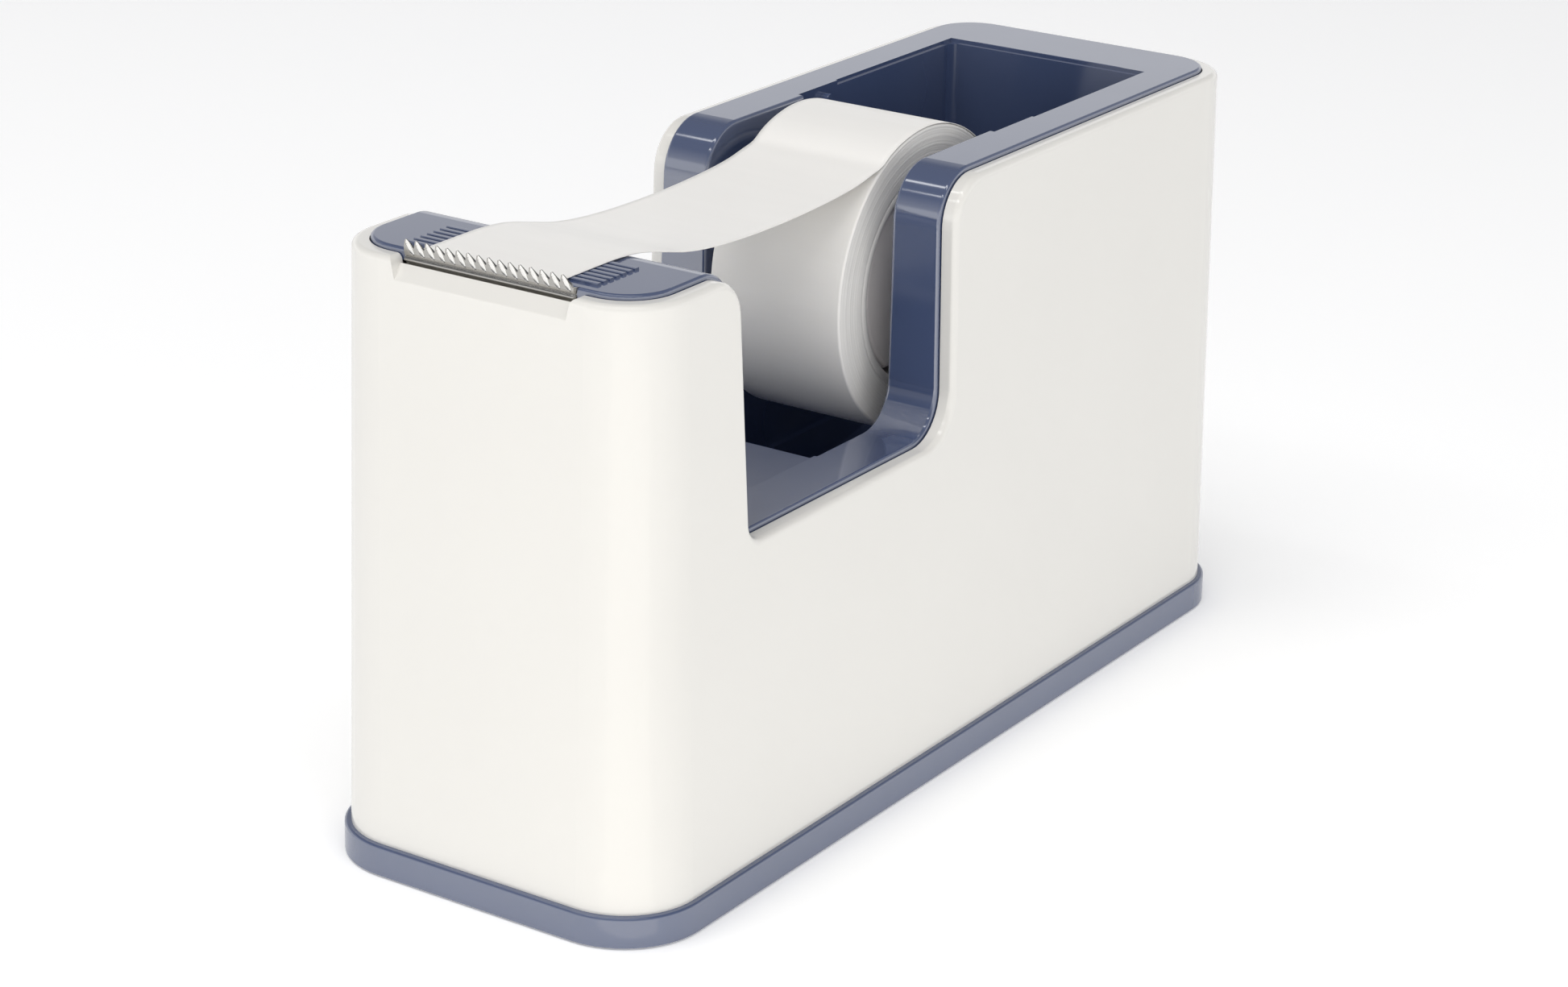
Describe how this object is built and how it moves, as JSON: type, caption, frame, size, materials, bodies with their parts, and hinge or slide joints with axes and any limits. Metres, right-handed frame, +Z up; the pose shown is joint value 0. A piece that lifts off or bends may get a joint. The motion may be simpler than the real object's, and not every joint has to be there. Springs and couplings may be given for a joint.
{
  "type": "tape dispenser",
  "caption": "Desk tape dispenser: tall rounded housing with a hand notch, a reel of white tape in sloping axle slots, a toothed cutting blade and a weighted base.",
  "frame": {"origin": "on the table, under the middle of the housing's outline", "axes": "+X across the width, +Y along the length towards the closed end (the cutting blade is at -Y), +Z up"},
  "size_m": [0.049, 0.14, 0.0773],
  "materials": {
    "outer_shell": "moulded, glossy white",
    "inner_tray": "moulded, glossy blue-grey",
    "base_plate": "moulded, glossy blue-grey",
    "non_slip_pad": "soft foam rubber",
    "ballast_plates": "raw pressed plate",
    "base_screws": "zinc plated",
    "tray_screws": "zinc plated",
    "cutter_blade": "bright spring steel",
    "tape_strip": "satin white film",
    "hub_drum": "moulded, light warm grey",
    "hub_cap": "moulded, light warm grey",
    "axle_pin": "moulded, blue-grey",
    "tape_core": "moulded, off-white",
    "tape_winding": "satin white film edges"
  },
  "bodies": {
    "housing": {"outer_shell": "outer_shell", "inner_tray": "inner_tray", "base_plate": "base_plate", "non_slip_pad": "non_slip_pad", "ballast_plates": "ballast_plates", "base_screws": "base_screws", "tray_screws": "tray_screws", "cutter_blade": "cutter_blade"},
    "tape_end": {"tape_strip": "tape_strip"},
    "reel": {"hub_drum": "hub_drum", "hub_cap": "hub_cap", "axle_pin": "axle_pin", "tape_core": "tape_core", "tape_winding": "tape_winding"}
  },
  "joints": [
    {"name": "reel_lift", "type": "slide", "parent": "housing", "child": "tape_end", "axis": [0, 0.5, 0.866], "range_m": [0, 0.045]},
    {"name": "reel_spin", "type": "hinge", "parent": "tape_end", "child": "reel", "pos_m": [0, 0.0095, 0.0579], "axis": [1, 0, 0], "continuous": true}
  ]
}
